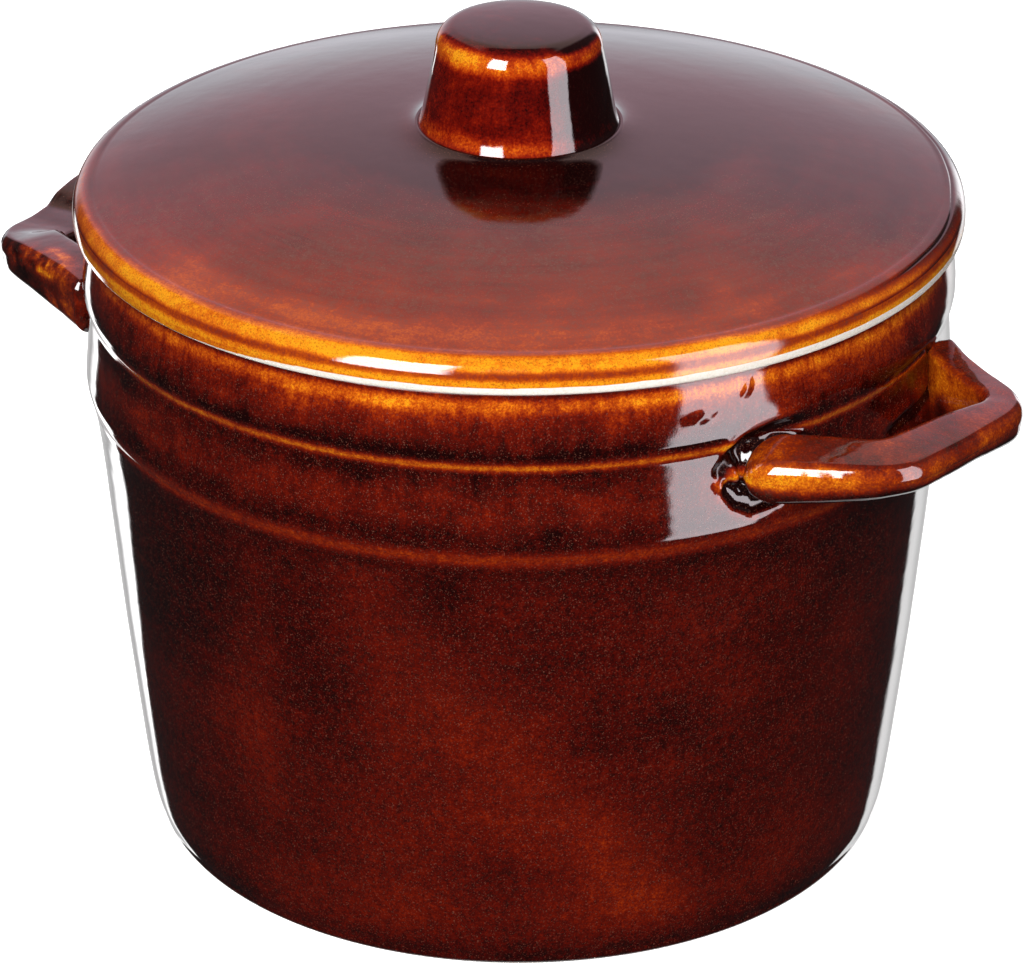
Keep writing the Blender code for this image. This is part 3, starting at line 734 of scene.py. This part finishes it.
# ---------------------------------------------------------------------- knob
def build_knob(mat):
    stations = []

    def add(r, z, coat_and_shade):
        stations.append((r, z, coat_and_shade))

    foot = 210.25
    add(0.0, foot, 0.7)
    for r in (9.0, 18.0, 25.0, 27.4):
        add(r, foot, 0.7)
    # the side flares a little where it meets the lid
    for z, r, c in ((210.3, 28.3, 0.95), (210.7, 28.42, 0.84), (211.1, 28.36, 0.62), (211.6, 28.12, 0.46), (212.2, 27.83, 0.38), (212.9, 27.58, 0.34),
                    (213.8, 27.32, 0.35), (214.8, 27.08, 0.42), (216.0, 26.83, 0.52), (217.4, 26.55, 0.64),
                    (219.0, 26.24, 0.66), (221.0, 25.86, 0.67), (223.0, 25.47, 0.67), (225.0, 25.08, 0.67), (227.0, 24.69, 0.67),
                    (229.0, 24.30, 0.68), (230.6, 23.99, 0.64), (231.9, 23.74, 0.58), (232.9, 23.54, 0.40), (233.8, 23.36, 0.24)):
        add(r, z, c)
    for i in range(0, 15):
        a = math.radians(10 + 75 * i / 14)
        c = (0.14, 0.12, 0.12, 0.12, 0.14, 0.20, 0.32, 0.48, 0.64, 0.76, 0.84, 0.90, 0.94, 0.97, 1.00)[i]
        add(16.95 + 6.4 * math.cos(a), 233.55 + 6.75 * math.sin(a), c)
    for r in (16.0, 14.0, 11.5, 9.0, 6.0, 3.0):
        add(r, 240.4 + 0.95 * (1 - (r / 17.0) ** 2), 1.0)
    add(0.0, 241.35, 1.0)
    rr, zz, aa, idx, faces = revolve(stations, even_angles(200))
    coat_and_shade = np.array([s[2] for s in stations])[idx]
    x, y = rr * np.cos(aa), rr * np.sin(aa)
    pts = np.stack([x, y, zz], 1)
    lump = ripple(pts, 17.0, 11.0, 2)
    lines = ripple(np.stack([x * 0.1, y * 0.1, zz], 1), 3.5, 12.0, 2)
    live = smooth((rr - 8.0) / 6.0) * smooth((zz - foot - 0.5) / 3.0)
    rr = rr + live * (0.13 * lump + 0.035 * lines)
    # the knob is darker on the side to the camera's right: thicker glaze there, and painted shade where that side turns
    # from the lamps
    va = math.radians(VIEW_AZIMUTH)
    right = (x * math.cos(va) + y * math.sin(va)) / np.maximum(rr, 1.0)
    thick_and_shaded_side = smooth((right - 0.42) / 0.20) * smooth((rr - 12.0) / 10.0)
    coat_and_shade = coat_and_shade + 0.46 * thick_and_shaded_side * smooth((coat_and_shade - 0.1) / 0.3) + 0.14 * smooth((right + 0.3) / 1.0)
    coat_and_shade = np.clip(coat_and_shade + 0.13 * ripple(pts, 8.0, 13.0, 3), 0.0, 1.1)
    verts = np.stack([rr * np.cos(aa), rr * np.sin(aa), zz], 1)
    verts[:, 2] = np.minimum(verts[:, 2], 241.38)
    return add_object("knob_grip", verts, faces, [mat], attributes={"coat_and_shade": coat_and_shade, "bare": np.zeros(len(coat_and_shade))})


# ------------------------------------------------------------------- handles
def eased_corner(p, corner, q, radius, count):
    p, corner, q = np.array(p, float), np.array(corner, float), np.array(q, float)
    a, b = (p - corner), (q - corner)
    la, lb = np.linalg.norm(a), np.linalg.norm(b)
    a, b = a / la, b / lb
    half = math.acos(float(np.clip(a @ b, -1, 1))) / 2.0
    t = min(radius / math.tan(half), 0.48 * la, 0.48 * lb)
    start, end = corner + a * t, corner + b * t
    k = np.linspace(0, 1, count)[:, None]
    return (1 - k) ** 2 * start + 2 * k * (1 - k) * corner + k ** 2 * end


def strap_line(step, corners, bends, cuts):
    """Plan of the strap's middle line from the front root round to the back root."""
    a, s, m = (110.0, -48.5), (122.0, -40.5), (153.4, 0.0)
    c, d = corners
    front = np.concatenate([[a], eased_corner(a, s, c, 42.0, 16), eased_corner(s, c, m, bends[0], 16), [m]])
    back = np.concatenate([[a], eased_corner(a, s, d, 42.0, 16), eased_corner(s, d, m, bends[1], 16), [m]])
    back = np.stack([back[::-1][1:, 0], -back[::-1][1:, 1]], 1)
    full = np.concatenate([front, back])
    seg = np.linalg.norm(np.diff(full, axis=0), axis=1)
    full = full[np.concatenate([[True], seg > 1e-6])]
    length = np.concatenate([[0], np.cumsum(np.linalg.norm(np.diff(full, axis=0), axis=1))])
    at = np.linspace(cuts[0], length[-1] - cuts[1], int((length[-1] - cuts[0] - cuts[1]) / step))
    line = np.stack([np.interp(at, length, full[:, i]) for i in range(2)], 1)
    for _ in range(14):      # ease the joins of the plan's pieces
        line[1:-1] = 0.25 * line[:-2] + 0.5 * line[1:-1] + 0.25 * line[2:]
    return line, at / length[-1]


def strap_section(outer, inner, top, low, drop, bulge, radii):
    """Section of the strap, from the outer side over the top to the inner side and back
    below. The top is a flat facet with a crisp outer edge; `drop` is how far it falls
    towards the inside, `bulge` the radius of the outer side below that edge."""
    lean = math.radians(55.0)
    xe, ze = outer - bulge * (1 - math.cos(lean)), top
    zc = ze - bulge * math.sin(lean)
    pts = []
    for i in range(8):
        a = lean * i / 7
        pts.append((outer - bulge + bulge * math.cos(a), zc + bulge * math.sin(a)))
    ri, rb, ro = radii
    xi, zi = -inner, top - drop
    # tight turn on to the facet, the facet, then the inner top corner
    end = (xi + ri, zi)
    for t in (0.035, 0.08, 0.16, 0.28, 0.42, 0.56, 0.70, 0.84, 0.94):
        pts.append((xe + (end[0] - xe) * t, ze + (end[1] - ze) * t + 0.10 * math.sin(math.pi * t) + 0.06 * (t > 0.03)))
    for i in range(9):
        a = math.radians(90 + 90 * i / 8)
        pts.append((xi + ri + ri * math.cos(a), zi - ri + ri * math.sin(a)))
    za, zb = zi - ri, low + 0.5 + rb
    for i in range(1, 6):
        t = i / 6.0
        pts.append((xi + 0.3 * t - 0.25 * math.sin(math.pi * t), za + (zb - za) * t))
    for i in range(9):
        a = math.radians(180 + 90 * i / 8)
        pts.append((xi + 0.3 + rb + rb * math.cos(a), low + 0.5 + rb + rb * math.sin(a)))
    x0, x1 = xi + 0.3 + rb, outer - 0.4 - ro
    for i in range(1, 4):
        t = i / 4.0
        pts.append((x0 + (x1 - x0) * t, low + 0.5 * (1 - t)))
    for i in range(9):
        a = math.radians(270 + 90 * i / 8)
        pts.append((outer - 0.4 - ro + ro * math.cos(a), low + ro + ro * math.sin(a)))
    z0, z1 = low + ro, zc
    for i in range(1, 4):
        t = i / 4.0
        pts.append((outer - 0.4 + 0.4 * t, z0 + (z1 - z0) * t))
    return np.array(pts)


# share of the way round, outer and inner half width, top and underside height, fall of the top
STRAPS = {
    "right": dict(out=-HANDLE_OFF, corners=((152.3, -22.2), (152.3, -27.4)), bends=(15.0, 14.0), cuts=(9.3, 2.0), seed=21.0, ends=(10.0, 1.2), table=[
        (0.00, 6.4, 7.6, 160.8, 147.4, -2.6), (0.08, 6.6, 8.8, 161.4, 147.8, -2.6), (0.16, 6.9, 9.2, 162.0, 148.8, -2.5), (0.27, 6.9, 9.0, 162.6, 151.0, -2.3),
        (0.36, 6.7, 9.2, 162.8, 152.8, -2.2), (0.50, 6.4, 8.8, 162.9, 153.2, -1.8), (0.60, 6.3, 7.0, 162.8, 152.4, -1.0),
        (0.70, 6.3, 4.8, 162.6, 149.6, -0.2), (0.79, 6.3, 3.8, 162.2, 143.4, 0.2), (0.88, 6.5, 3.4, 162.0, 137.6, 0.4), (1.00, 6.6, 3.4, 161.8, 136.8, 0.6)]),
    "left": dict(out=180.0 + HANDLE_OFF, corners=((151.8, -25.0), (153.5, -23.4)), bends=(10.5, 12.0), cuts=(4.0, 0.5), seed=33.0, ends=(3.0, 0.8), table=[
        (0.00, 7.2, 7.0, 160.0, 149.4, -1.6), (0.12, 7.0, 7.4, 157.6, 147.0, -1.4), (0.26, 6.7, 9.4, 157.8, 145.4, 0.0),
        (0.38, 6.4, 12.4, 158.8, 144.8, 1.4), (0.45, 6.2, 13.6, 157.8, 143.8, 1.6), (0.50, 6.2, 14.0, 155.0, 142.7, 0.8),
        (0.56, 6.3, 13.8, 155.0, 144.2, 0.4), (0.64, 6.6, 13.2, 156.0, 145.0, 0.3),
        (0.74, 7.0, 9.6, 158.3, 144.6, -0.4), (0.88, 7.2, 7.6, 159.7, 143.4, -0.8), (1.00, 7.2, 6.8, 160.1, 142.8, -0.8)]),
}


def build_handle(name, mat, key):
    spec = STRAPS[key]
    # the left strap's front root is the one on its +v side
    line, share = strap_line(0.8, spec["corners"], spec["bends"], spec["cuts"])
    table = np.array(spec["table"])
    laws = [curve_through(list(zip(table[:, 0], table[:, i]))) for i in range(1, 6)]
    n = len(line)
    along = np.gradient(line, axis=0)
    along /= np.linalg.norm(along, axis=1)[:, None]
    out = np.stack([along[:, 1], -along[:, 0]], 1)
    run = np.concatenate([[0], np.cumsum(np.linalg.norm(np.diff(line, axis=0), axis=1))])
    total = run[-1]
    verts, tops, sides, ends, mids = [], [], [], [], []
    for i in range(n):
        outer, inner, top, low, drop = (float(f(share[i])) for f in laws)
        k0 = max(0.0, 1.0 - (run[i] + 0.15) / spec["ends"][0])
        k1 = max(0.0, 1.0 - (total - run[i] + 0.15) / spec["ends"][1])
        shrink = math.sqrt(max(0.0, 1.0 - max(k0, k1) ** 2))
        mid = 0.5 * (top + low)
        sec = strap_section(outer, inner, top - mid, low - mid, drop, min(5.2, 0.5 * (outer + inner)),
                            [min(q, 0.42 * (outer + inner)) for q in (2.2, 3.6, 4.6)]) * shrink
        for w, h in sec:
            verts.append((line[i, 0] + out[i, 0] * w, line[i, 1] + out[i, 1] * w, mid + h))
            tops.append(h / (0.5 * (top - low) * max(shrink, 0.05)))
            sides.append(w / (outer * max(shrink, 0.05)) if w > 0 else w / (inner * max(shrink, 0.05)))
            ends.append(min(run[i], total - run[i]))
            mids.append((line[i, 0], line[i, 1], mid))
    m = len(sec)
    verts, tops, sides, ends, mids = map(np.array, (verts, tops, sides, ends, mids))
    where = np.repeat(share, m)
    faces = []
    for i in range(n - 1):
        for j in range(m):
            k = (j + 1) % m
            faces.append((i * m + j, i * m + k, (i + 1) * m + k, (i + 1) * m + j))
    faces.append(tuple(range(m)))
    faces.append(tuple(range((n - 1) * m, n * m))[::-1])
    # rolled and pressed by hand
    away = verts - mids
    size = np.linalg.norm(away, axis=1)[:, None]
    away = away / np.maximum(size, 1e-6)
    lump = ripple(verts, 19.0, spec["seed"], 2)
    small = ripple(verts, 5.0, spec["seed"] + 1.5, 2)
    push = 0.22 * lump + 0.05 * small - 0.16
    if key == "left":      # wrinkles where the strap was squeezed against the inside of the bend
        push = push + 0.10 * ripple(verts * np.array([1.0, 0.45, 1.0]), 2.6, 71.0, 2) * hump(where, 0.60, 0.16) * smooth((0.2 - sides) / 0.6) * smooth((tops - 0.2) / 0.4)
    verts = verts + away * push[:, None] * np.minimum(size / 5.0, 1.0)
    patch = ripple(verts, 12.0, spec["seed"] + 3.0, 3)
    spots = ripple(verts, 4.0, spec["seed"] + 5.0, 3)
    under = smooth((-tops - 0.02) / 0.55)
    side = smooth((sides - 0.45) / 0.4)
    if key == "right":
        front = smooth((0.42 - where) / 0.25)
        # painted shade: the `under` term darkens the strap's underside, standing in for the shade beneath it
        coat_and_shade = (0.50 - 0.20 * side * hump(tops, 0.25, 0.75) * (0.35 + 0.65 * front)
                + 0.17 * smooth((tops - 0.80) / 0.15) + 0.46 * under
                - 0.26 * smooth((0.20 - where) / 0.08) * smooth((tops + 0.3) / 0.4)
                - 0.22 * smooth((where - 0.68) / 0.10) * smooth((-sides - 0.3) / 0.4)
                + 0.15 * patch + 0.10 * spots + 0.10 * hump(where, 0.55, 0.2) * side)
        # a pit in the inner face of the back leg
        coat_and_shade = coat_and_shade + 0.50 * hump(where, 0.885, 0.022) * hump(tops, -0.15, 0.25) * smooth((-sides - 0.4) / 0.3)
        coat_and_shade = coat_and_shade + 0.45 * smooth((2.0 - ends) / 2.0) * smooth((where - 0.5) / 0.1)
    else:
        # painted shade: the small `under` term darkens the strap's underside
        coat_and_shade = (0.97 + 0.10 * patch + 0.06 * under
                - 0.72 * np.exp(-(((where - 0.85) / 0.085) ** 2)) * smooth((tops - 0.1) / 0.5) * smooth((sides + 0.3) / 0.5) * (0.8 + 0.8 * spots)
                - 0.22 * hump(where, 0.95, 0.05) * smooth((sides - 0.2) / 0.4))
        # mottled outer side: dark red and amber between near black patches
        blot = ripple(verts, 7.5, 51.0, 3)
        coat_and_shade = coat_and_shade - side * (0.02 + 0.40 * smooth((blot - 0.15) / 0.5) + 0.20 * spots)
        coat_and_shade = coat_and_shade - 0.10 * side * hump(where, 0.93, 0.09)
        # painted shade: darker on the inner face below the top, where it faces the crock wall
        coat_and_shade = coat_and_shade + 0.30 * smooth((-sides - 0.75) / 0.2) * smooth((0.75 - tops) / 0.2)
    coat_and_shade = np.clip(coat_and_shade, 0.02, 1.1)
    a = math.radians(spec["out"])
    rot = np.array([[math.cos(a), -math.sin(a), 0], [math.sin(a), math.cos(a), 0], [0, 0, 1]])
    verts = verts @ rot.T
    return add_object(name, verts, faces, [mat], attributes={"coat_and_shade": coat_and_shade, "bare": np.zeros(len(coat_and_shade))})


# ------------------------------------------------------------------- weights
def build_weight(name, mat, side):
    """Half-moon pressing weight with eased edges and a finger notch."""
    bm = bmesh.new()
    flat, radius, notch, base, thick = 1.5, 90.9, 14.0, 9.35, 15.9
    start = math.degrees(math.asin(flat / radius))
    pts = []
    for i in range(97):
        a = math.radians(start + (180.0 - 2 * start) * i / 96)
        pts.append((radius * math.cos(a), radius * math.sin(a)))
    for i in range(1, 20):
        pts.append((-radius * math.cos(math.radians(start)) + (radius - notch) * i / 20.0, flat))
    for i in range(25):
        a = math.radians(180.0 - 180.0 * i / 24)
        pts.append((notch * math.cos(a), flat + notch * math.sin(a)))
    for i in range(1, 20):
        pts.append((notch + (radius * math.cos(math.radians(start)) - notch) * i / 20.0, flat))
    verts = [bm.verts.new((x * MM, y * MM, base * MM)) for x, y in pts]
    face = bm.faces.new(verts)
    solid = bmesh.ops.extrude_face_region(bm, geom=[face])
    top = [v for v in solid["geom"] if isinstance(v, bmesh.types.BMVert)]
    bmesh.ops.translate(bm, verts=top, vec=(0.0, 0.0, thick * MM))
    rims = [e for e in bm.edges if abs(e.verts[0].co.z - e.verts[1].co.z) < 1e-9]
    bmesh.ops.bevel(bm, geom=rims, offset=2.4 * MM, segments=5, profile=0.5, affect="EDGES")
    bmesh.ops.recalc_face_normals(bm, faces=bm.faces)
    if side < 0:
        for v in bm.verts:
            v.co.x, v.co.y = -v.co.x, -v.co.y
    mesh = bpy.data.meshes.new(name)
    bm.to_mesh(mesh)
    bm.free()
    mesh.shade_smooth()
    mesh.set_sharp_from_angle(angle=math.radians(40))
    mesh.materials.append(mat)
    obj = bpy.data.objects.new(name, mesh)
    bpy.context.scene.collection.objects.link(obj)
    return obj


crock_glaze = glaze_material("crock_glaze_fired", wander=0.13, cloud=0.10, brush=0.06, grain=0.33, streak=0.18, haze=0.055, flecks=0.5, dents=0.06, bloom=0.02, tint=(1.0, 0.76, 0.8))
lid_glaze = glaze_material("lid_glaze_fired", wander=0.15, cloud=0.09, brush=0.11, grain=0.20, haze=0.07, flecks=0.3, dents=0.08, bloom=0.22, prick=0.10, tint=(1.0, 0.85, 0.8))
knob_glaze = glaze_material("knob_glaze_fired", wander=0.13, cloud=0.03, brush=0.06, grain=0.32, streak=0.14, haze=0.045, flecks=0.06, dents=0.12, tint=(1.04, 0.45, 0.6))
handle_glaze = glaze_material("handle_glaze_fired", wander=0.16, cloud=0.05, brush=0.03, grain=0.34, haze=0.06, flecks=0.3, dents=0.20, bloom=0.10)
weight_clay = clay_material("weight_clay_fired")

crock = build_crock(crock_glaze)
lid = build_lid(lid_glaze)
knob = build_knob(knob_glaze)
right = build_handle("handle_strap_right", handle_glaze, "right")
left = build_handle("handle_strap_left", handle_glaze, "left")
weight_a = build_weight("pressing_weight_a", weight_clay, 1)
weight_b = build_weight("pressing_weight_b", weight_clay, -1)

for piece, body, node, slot in (
        (crock, "crock", "crock_body", "crock_glaze"),
        (right, "crock", "handle_right", "handle_glaze"),
        (left, "crock", "handle_left", "handle_glaze"),
        (lid, "lid", "lid_plate", "lid_glaze"),
        (knob, "lid", "lid_knob", "knob_glaze"),
        (weight_a, "weight_a", "weight_half_a", "weight_clay"),
        (weight_b, "weight_b", "weight_half_b", "weight_clay")):
    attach(piece, body)
    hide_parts(node)


# --------------------------------------------------------------------- floor
floor_mat, floor_tree, floor_shader = new_material("pale_floor")
floor_at = object_position(floor_tree)
paper = noise_at(floor_tree, floor_at, 3.0, 2.0, 0.5)
floor_colour = ramp(floor_tree, paper, [(0.3, (0.86, 0.86, 0.87)), (0.7, (0.90, 0.90, 0.91))])
floor_tree.links.new(floor_colour, floor_shader.inputs["Base Color"])
floor_shader.inputs["Roughness"].default_value = 0.9
floor_shader.inputs["Emission Color"].default_value = (1.0, 1.0, 1.0, 1.0)
floor_shader.inputs["Emission Strength"].default_value = 0.75
floor_mesh = bpy.data.meshes.new("floor")
floor_mesh.from_pydata([(-6, -6, 0), (6, -6, 0), (6, 6, 0), (-6, 6, 0)], [], [(0, 1, 2, 3)])
floor_mesh.materials.append(floor_mat)
floor = bpy.data.objects.new("floor", floor_mesh)
bpy.context.scene.collection.objects.link(floor)
floor.visible_glossy = False
floor.visible_diffuse = False
floor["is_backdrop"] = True

# --------------------------------------------------------------------- light
world = bpy.data.worlds.new("studio")
bpy.context.scene.world = world
world.use_nodes = True
wt = world.node_tree
for n in list(wt.nodes):
    wt.nodes.remove(n)
w_out = wt.nodes.new("ShaderNodeOutputWorld")
w_bg = wt.nodes.new("ShaderNodeBackground")
wt.links.new(w_bg.outputs[0], w_out.inputs[0])
look = wt.nodes.new("ShaderNodeTexCoord").outputs["Generated"]
dx, dy, dz = split(wt, look)
va = math.radians(VIEW_AZIMUTH)
side_of = dx * math.cos(va) + dy * math.sin(va)            # towards the camera's right
behind = dx * -math.sin(va) + dy * math.cos(va)            # away from the camera
az = side_of._math("ARCTAN2", behind) * (180.0 / math.pi)  # 0 behind, 90 right, 180 camera
el = dz._math("ARCSINE") * (180.0 / math.pi)


def card(az0, az1, el0, el1, soft=1.0):
    return (az.step(az0 - soft, az0 + soft) * az.step(az1 + soft, az1 - soft)
            * el.step(el0 - soft, el0 + soft) * el.step(el1 + soft, el1 - soft))


narrow = el.step(-27.5, -32.5) * az.step(0.0, -6.0) * 13.0
tuck = az.step(-27.0, -22.0) * az.step(4.0, -4.0) * 6.0
edge = az.absolute() + narrow + az.step(0.0, -6.0) * (el.step(-26.0, -23.5) * 10.4 - 5.8) + az.step(0.0, 6.0) * 2.4
sweep = edge.step(36.0, 33.0) * (el + tuck).step(-13.0, -17.0)              # bright paper behind the crock
wing = az.step(17.0, 22.0) * az.step(31.0, 27.0) * el.step(16.0, 2.0)       # it comes up higher at the right
edge_on = az.step(-20.0, -31.0) * 4.2 + az.step(14.0, 32.0) * 1.15 + 0.74   # brighter away from its middle
back = side_of.absolute().step(0.56, 0.42) * behind.step(0.0, 0.1) * el.step(-14.0, -6.0) * el.step(66.0, 58.0)   # soft light from behind and above
high = el.step(26.0, 50.0)
warm = back * side_of.step(-0.03, -0.22) * el.step(8.0, 22.0)
low_band = back * el.step(16.0, -2.0)
key = card(-162.0, -135.5, 4.0, 46.0, 0.8)
strip = card(114.0, 141.0, -33.0, 48.0, 0.8)


def tinted(amount, colour):
    node = wt.nodes.new("ShaderNodeVectorMath")
    node.operation = "SCALE"
    node.inputs[0].default_value = colour
    put(wt, node.inputs["Scale"], amount)
    return node.outputs[0]


def total(*parts):
    out = parts[0]
    for p in parts[1:]:
        node = wt.nodes.new("ShaderNodeVectorMath")
        wt.links.new(out, node.inputs[0])
        wt.links.new(p, node.inputs[1])
        out = node.outputs[0]
    return out


gloss = total(
    tinted(sweep.high(wing) * edge_on, (1.0, 1.0, 1.0)),
    tinted(wing * el.step(14.0, -6.0) * el.step(-22.0, -14.0) * 0.9, (1.0, 0.95, 1.0)),
    tinted(warm, (0.02, -0.08, -0.11)),
    tinted(back * (1.0 - high), (1.00, 0.63, 0.75)),
    tinted(back * high, (0.96, 0.65, 0.60)),
    tinted(low_band, (0.09, 0.45, 0.42)),
    tinted(key * 24.0, (1.0, 1.0, 1.0)),
    tinted(strip * 8.0, (1.0, 0.90, 0.95)),
    tinted(el.step(-6.0, 16.0) * 0.05 + 0.03, (1.0, 0.9, 0.95)))
is_gloss = wt.nodes.new("ShaderNodeLightPath").outputs["Is Glossy Ray"]
fill = wt.nodes.new("ShaderNodeMix")
fill.data_type = "RGBA"
wt.links.new(is_gloss, fill.inputs[0])
fill.inputs[6].default_value = (0.17, 0.17, 0.172, 1.0)
wt.links.new(gloss, fill.inputs[7])
wt.links.new(fill.outputs[2], w_bg.inputs[0])
w_bg.inputs[1].default_value = 1.0


def soft_light(name, azimuth, elevation, distance, size, power):
    """Large soft light; azimuth is round from the camera, to its right."""
    a = math.radians(VIEW_AZIMUTH + azimuth)
    e = math.radians(elevation)
    way = Vector((math.sin(a) * math.cos(e), -math.cos(a) * math.cos(e), math.sin(e)))
    data = bpy.data.lights.new(name, "AREA")
    data.shape = "DISK"
    data.size = size
    data.energy = power
    obj = bpy.data.objects.new(name, data)
    bpy.context.scene.collection.objects.link(obj)
    obj.location = Vector((0, 0, 0.12)) + way * distance
    obj.rotation_euler = (-way).to_track_quat("-Z", "Y").to_euler()
    obj.visible_glossy = False
    obj.visible_camera = False
    return obj


soft_light("soft_back", 180.0, 42.0, 1.6, 0.9, 24.0)
soft_light("soft_front", -4.0, 29.0, 1.8, 0.6, 40.0)

# -------------------------------------------------------------------- camera
cam_data = bpy.data.cameras.new("camera")
cam_data.sensor_width = 36.0
cam_data.lens = 5000.0 / 1024.0 * 36.0
cam_data.clip_end = 20.0
cam = bpy.data.objects.new("camera", cam_data)
bpy.context.scene.collection.objects.link(cam)
cam.location = (1.29783 * math.sin(va), -1.29783 * math.cos(va), 0.73865)
cam.rotation_euler = (math.radians(90.0 - 26.2513), 0.0, math.radians(VIEW_AZIMUTH + 0.086))
bpy.context.scene.camera = cam
bpy.context.scene.view_settings.view_transform = "Standard"

low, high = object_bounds()
